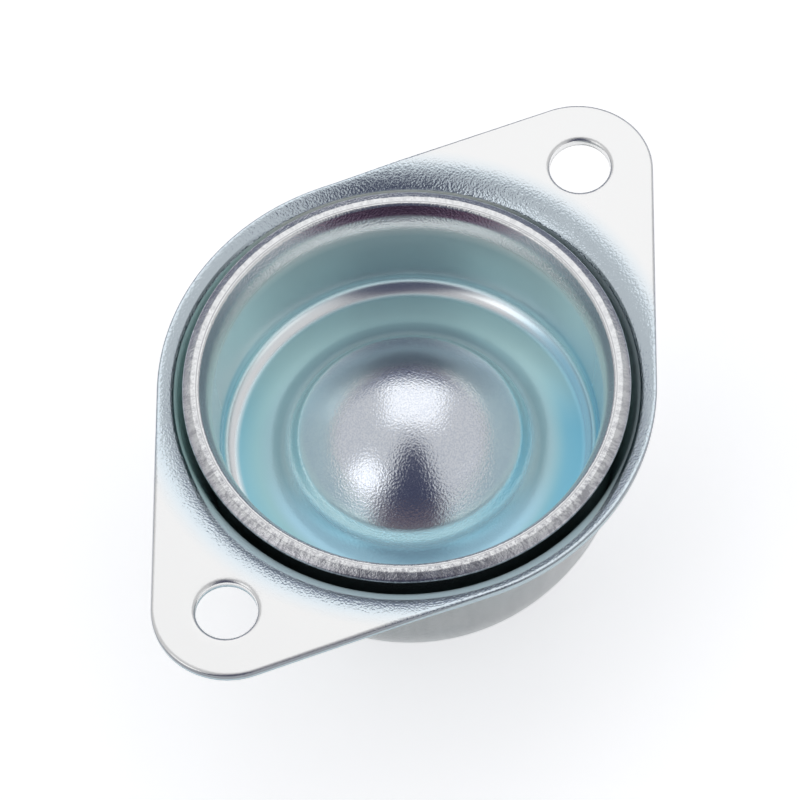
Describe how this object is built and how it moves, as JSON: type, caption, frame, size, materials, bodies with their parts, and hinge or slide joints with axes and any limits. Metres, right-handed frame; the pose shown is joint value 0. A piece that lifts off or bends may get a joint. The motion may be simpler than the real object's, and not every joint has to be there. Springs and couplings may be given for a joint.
{
  "type": "ball transfer unit",
  "caption": "Ball transfer unit: a steel load ball rolls on small balls in a race cup, held by a drawn sheet housing with a two-hole flange",
  "frame": {"origin": "centre of the flange's mounting face, midway between the two mounting holes", "axes": "+Z out of the mounting face, away from the load ball; +X along the line through the two holes; +Y across the flange"},
  "size_m": [0.0594, 0.039, 0.0233],
  "materials": {
    "housing_zinc": "zinc plated, satin",
    "cup_zinc": "blue zinc plated, satin to bright",
    "load_ball_steel": "polished",
    "support_ball_steel": "polished"
  },
  "bodies": {
    "shell": {"housing": "housing_zinc", "race_cup": "cup_zinc"},
    "support_balls": {"support_ball_01": "support_ball_steel", "support_ball_02": "support_ball_steel", "support_ball_03": "support_ball_steel", "support_ball_04": "support_ball_steel", "support_ball_05": "support_ball_steel", "support_ball_06": "support_ball_steel", "support_ball_07": "support_ball_steel", "support_ball_08": "support_ball_steel", "support_ball_09": "support_ball_steel", "support_ball_10": "support_ball_steel", "support_ball_11": "support_ball_steel", "support_ball_12": "support_ball_steel", "support_ball_13": "support_ball_steel", "support_ball_14": "support_ball_steel", "support_ball_15": "support_ball_steel", "support_ball_16": "support_ball_steel", "support_ball_17": "support_ball_steel", "support_ball_18": "support_ball_steel", "support_ball_19": "support_ball_steel", "support_ball_20": "support_ball_steel", "support_ball_21": "support_ball_steel", "support_ball_22": "support_ball_steel", "support_ball_23": "support_ball_steel", "support_ball_24": "support_ball_steel", "support_ball_25": "support_ball_steel", "support_ball_26": "support_ball_steel", "support_ball_27": "support_ball_steel", "support_ball_28": "support_ball_steel", "support_ball_29": "support_ball_steel", "support_ball_30": "support_ball_steel", "support_ball_31": "support_ball_steel", "support_ball_32": "support_ball_steel", "support_ball_33": "support_ball_steel", "support_ball_34": "support_ball_steel", "support_ball_35": "support_ball_steel", "support_ball_36": "support_ball_steel", "support_ball_37": "support_ball_steel", "support_ball_38": "support_ball_steel", "support_ball_39": "support_ball_steel", "support_ball_40": "support_ball_steel", "support_ball_41": "support_ball_steel", "support_ball_42": "support_ball_steel", "support_ball_43": "support_ball_steel", "support_ball_44": "support_ball_steel", "support_ball_45": "support_ball_steel", "support_ball_46": "support_ball_steel", "support_ball_47": "support_ball_steel", "support_ball_48": "support_ball_steel", "support_ball_49": "support_ball_steel", "support_ball_50": "support_ball_steel", "support_ball_51": "support_ball_steel", "support_ball_52": "support_ball_steel", "support_ball_53": "support_ball_steel", "support_ball_54": "support_ball_steel", "support_ball_55": "support_ball_steel", "support_ball_56": "support_ball_steel", "support_ball_57": "support_ball_steel"},
    "load_ball": {"load_ball": "load_ball_steel"}
  },
  "joints": [
    {"name": "support_ball_turn", "type": "hinge", "parent": "shell", "child": "support_balls", "pos_m": [0, 0, -0.01505], "axis": [0, 0, 1], "continuous": true},
    {"name": "load_ball_roll", "type": "hinge", "parent": "support_balls", "child": "load_ball", "pos_m": [0, 0, -0.01505], "axis": [1, 0, 0], "continuous": true}
  ]
}
